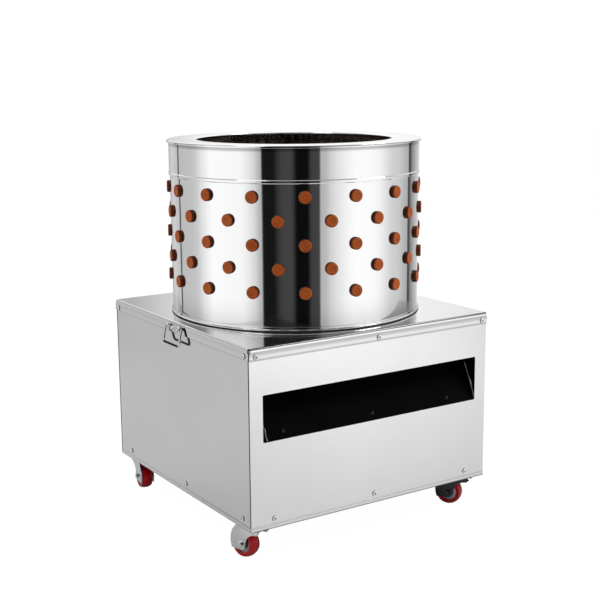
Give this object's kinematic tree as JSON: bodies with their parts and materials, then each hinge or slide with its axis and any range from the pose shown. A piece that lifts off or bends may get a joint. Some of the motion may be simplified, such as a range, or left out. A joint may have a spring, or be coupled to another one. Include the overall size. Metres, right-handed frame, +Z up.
{
  "type": "poultry plucker",
  "caption": "Drum poultry plucker with rubber fingers in the barrel and on a belt-driven spinning plate, in a square cabinet on swivel casters with a front feather outlet.",
  "frame": {"origin": "on the floor under the drum's axis", "axes": "+Z up along the drum's axis, -Y towards the feather outlet, +X to the side with the switch box"},
  "size_m": [0.6895, 0.6288, 0.8422],
  "materials": {
    "painted_frame": "grey primer paint on welded angle steel",
    "brushed_panel": "fine satin stainless sheet",
    "polished_sheet": "mirror-polished stainless sheet",
    "bright_fastener": "bright stainless heads",
    "finger_rubber": "moulded orange-brown rubber",
    "black_sheet": "black coated sheet",
    "cast_housing": "painted cast housing",
    "motor_paint": "machine enamel",
    "belt_rubber": "fabric-covered V-belt",
    "gasket_rubber": "black extruded gasket strip",
    "dark_plastic": "moulded black plastic",
    "zinc_plate": "zinc-plated pressed steel",
    "plate_steel": "satin steel plate",
    "turned_steel": "turned bar",
    "pulley_iron": "turned cast iron",
    "handle_wire": "bright drawn wire",
    "green_button": "moulded green cap",
    "red_button": "moulded red cap",
    "hub_metal": "pressed hub",
    "red_tyre": "glossy red polyurethane"
  },
  "bodies": {
    "cabinet": {"base_frame": "painted_frame", "front_panel": "brushed_panel", "left_panel": "brushed_panel", "right_panel": "brushed_panel", "back_panel": "brushed_panel", "panel_screws": "bright_fastener", "lid_tray": "polished_sheet", "lid_screws": "bright_fastener", "drum_shell": "polished_sheet", "drum_collar": "polished_sheet", "top_ring": "polished_sheet", "base_band": "polished_sheet", "foot_gasket": "gasket_rubber", "drum_fingers_odd_rows": "finger_rubber", "drum_fingers_even_rows": "finger_rubber", "feather_deck": "black_sheet", "chute_cheeks": "black_sheet", "sheet_rivets": "bright_fastener", "drive_plate": "painted_frame", "spindle_beam": "painted_frame", "upper_bearing": "cast_housing", "lower_bearing": "cast_housing", "bearing_bolts": "bright_fastener", "motor_body": "motor_paint", "motor_cowl": "motor_paint", "motor_terminal_box": "motor_paint", "motor_bolts": "bright_fastener", "v_belt": "belt_rubber", "switch_box": "dark_plastic", "cable_gland": "dark_plastic", "handle_brackets": "zinc_plate", "caster_plates": "zinc_plate", "caster_bolts": "bright_fastener"},
    "finger_plate_rotor": {"finger_plate": "plate_steel", "plate_fingers": "finger_rubber", "feather_paddles": "plate_steel", "spindle": "turned_steel", "spindle_nut": "turned_steel", "drive_pulley": "pulley_iron"},
    "motor_rotor": {"motor_shaft": "turned_steel", "motor_pulley": "pulley_iron", "motor_fan": "dark_plastic"},
    "left_handle": {"handle_left": "handle_wire"},
    "right_handle": {"handle_right": "handle_wire"},
    "start_push": {"start_button": "green_button"},
    "stop_push": {"stop_button": "red_button"},
    "front_left_swivel": {"caster_fork_1": "zinc_plate"},
    "front_left_wheel": {"caster_hub_1": "hub_metal", "caster_tyre_1": "red_tyre"},
    "front_right_swivel": {"caster_fork_2": "zinc_plate"},
    "front_right_wheel": {"caster_hub_2": "hub_metal", "caster_tyre_2": "red_tyre"},
    "rear_left_swivel": {"caster_fork_3": "zinc_plate"},
    "rear_left_wheel": {"caster_hub_3": "hub_metal", "caster_tyre_3": "red_tyre"},
    "rear_right_swivel": {"caster_fork_4": "zinc_plate"},
    "rear_right_wheel": {"caster_hub_4": "hub_metal", "caster_tyre_4": "red_tyre"}
  },
  "joints": [
    {"name": "plate_spin", "type": "hinge", "parent": "cabinet", "child": "finger_plate_rotor", "pos_m": [0, 0, 0.41], "axis": [0, 0, 1], "continuous": true},
    {"name": "motor_spin", "type": "hinge", "parent": "cabinet", "child": "motor_rotor", "pos_m": [0, 0.205, 0.124], "axis": [0, 0, 1], "continuous": true},
    {"name": "left_handle_swing", "type": "hinge", "parent": "cabinet", "child": "left_handle", "pos_m": [-0.3152, 0, 0.4462], "axis": [0, 1, 0], "range_deg": [0, 158]},
    {"name": "right_handle_swing", "type": "hinge", "parent": "cabinet", "child": "right_handle", "pos_m": [0.3152, 0, 0.4462], "axis": [0, -1, 0], "range_deg": [0, 158]},
    {"name": "start_press", "type": "slide", "parent": "cabinet", "child": "start_push", "axis": [-1, 0, 0], "range_m": [0, 0.004], "stiffness_N_per_m": 600},
    {"name": "stop_press", "type": "slide", "parent": "cabinet", "child": "stop_push", "axis": [-1, 0, 0], "range_m": [0, 0.004], "stiffness_N_per_m": 600},
    {"name": "front_left_swivel_turn", "type": "hinge", "parent": "cabinet", "child": "front_left_swivel", "pos_m": [-0.27765, -0.27765, 0.06], "axis": [0, 0, 1], "continuous": true},
    {"name": "front_left_wheel_roll", "type": "hinge", "parent": "front_left_swivel", "child": "front_left_wheel", "pos_m": [-0.28647, -0.24689, 0.03], "axis": [0.9613, 0.2756, 0], "continuous": true},
    {"name": "front_right_swivel_turn", "type": "hinge", "parent": "cabinet", "child": "front_right_swivel", "pos_m": [0.27765, -0.27765, 0.06], "axis": [0, 0, 1], "continuous": true},
    {"name": "front_right_wheel_roll", "type": "hinge", "parent": "front_right_swivel", "child": "front_right_wheel", "pos_m": [0.25976, -0.25112, 0.03], "axis": [0.829, 0.5592, 0], "continuous": true},
    {"name": "rear_left_swivel_turn", "type": "hinge", "parent": "cabinet", "child": "rear_left_swivel", "pos_m": [-0.27765, 0.27765, 0.06], "axis": [0, 0, 1], "continuous": true},
    {"name": "rear_left_wheel_roll", "type": "hinge", "parent": "rear_left_swivel", "child": "rear_left_wheel", "pos_m": [-0.2821, 0.24596, 0.03], "axis": [-0.9903, 0.1392, 0], "continuous": true},
    {"name": "rear_right_swivel_turn", "type": "hinge", "parent": "cabinet", "child": "rear_right_swivel", "pos_m": [0.27765, 0.27765, 0.06], "axis": [0, 0, 1], "continuous": true},
    {"name": "rear_right_wheel_roll", "type": "hinge", "parent": "rear_right_swivel", "child": "rear_right_wheel", "pos_m": [0.29267, 0.2494, 0.03], "axis": [-0.8829, -0.4695, 0], "continuous": true}
  ],
  "couplings": [
    {"joint": "motor_spin", "follows": "plate_spin", "ratio": 4.3939}
  ]
}
